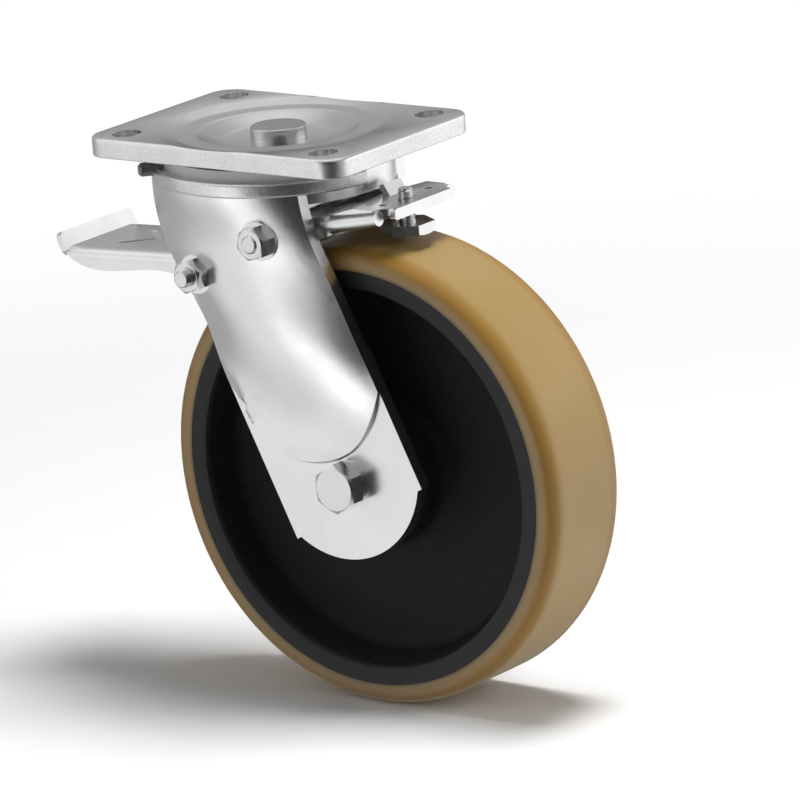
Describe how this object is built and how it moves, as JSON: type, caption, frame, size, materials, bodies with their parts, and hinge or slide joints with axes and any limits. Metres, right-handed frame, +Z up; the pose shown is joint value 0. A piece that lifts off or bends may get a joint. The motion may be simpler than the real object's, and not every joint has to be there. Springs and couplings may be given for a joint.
{
  "type": "swivel castor",
  "caption": "Heavy swivel castor: pressed top plate, bulged steel fork, amber tyre on a black cast wheel, and a foot pedal that presses a brake screw onto the tread.",
  "frame": {"origin": "centre of the plate's top face, on the swivel axis", "axes": "+X along the wheel axle, +Y away from the trailing wheel and towards the pedal, +Z up"},
  "size_m": [0.108, 0.258, 0.245],
  "materials": {
    "zinc_sheet": "bright zinc plated, satin",
    "zinc_fastener": "bright zinc plated",
    "bearing_steel": "polished",
    "grey_seal": "matte",
    "dark_steel": "satin",
    "black_casting": "black, rough cast",
    "amber_tyre": "satin polyurethane"
  },
  "bodies": {
    "base": {"top_plate": "zinc_sheet", "kingpin": "zinc_fastener", "kingpin_nut": "zinc_fastener", "lower_race": "bearing_steel", "lock_ring": "bearing_steel"},
    "swivel": {"fork": "zinc_sheet", "seal_ring": "grey_seal", "grease_nipple": "dark_steel", "upper_balls": "bearing_steel", "lower_balls": "bearing_steel", "axle_bolt": "zinc_fastener", "axle_nut": "zinc_fastener", "axle_washers": "zinc_fastener", "axle_sleeve": "zinc_fastener", "bearing_inner_rings": "bearing_steel", "arm_bolt": "zinc_fastener", "arm_nut": "zinc_fastener", "arm_sleeve": "zinc_fastener", "pedal_bolt": "zinc_fastener", "pedal_nut": "zinc_fastener", "pedal_sleeve": "zinc_fastener"},
    "wheel": {"wheel_centre": "black_casting", "tyre": "amber_tyre", "bearing_outer_rings": "bearing_steel", "bearing_balls": "bearing_steel", "bearing_shields": "bearing_steel"},
    "pedal_lever": {"pedal": "zinc_sheet", "push_rod": "zinc_fastener"},
    "brake_lever": {"brake_arm": "zinc_sheet", "brake_screw": "zinc_fastener"}
  },
  "joints": [
    {"name": "swivel_turn", "type": "hinge", "parent": "base", "child": "swivel", "pos_m": [0, 0, -0.02], "axis": [0, 0, 1], "continuous": true},
    {"name": "wheel_spin", "type": "hinge", "parent": "swivel", "child": "wheel", "pos_m": [0, -0.05, -0.145], "axis": [1, 0, 0], "continuous": true},
    {"name": "pedal_press", "type": "hinge", "parent": "swivel", "child": "pedal_lever", "pos_m": [0, 0.0185, -0.058], "axis": [-1, 0, 0], "range_deg": [0, 15.5]},
    {"name": "brake_swing", "type": "hinge", "parent": "swivel", "child": "brake_lever", "pos_m": [0, -0.02, -0.0395], "axis": [1, 0, 0], "range_deg": [0, 4.5]}
  ],
  "couplings": [
    {"joint": "brake_swing", "follows": "pedal_press", "ratio": 0.29}
  ]
}
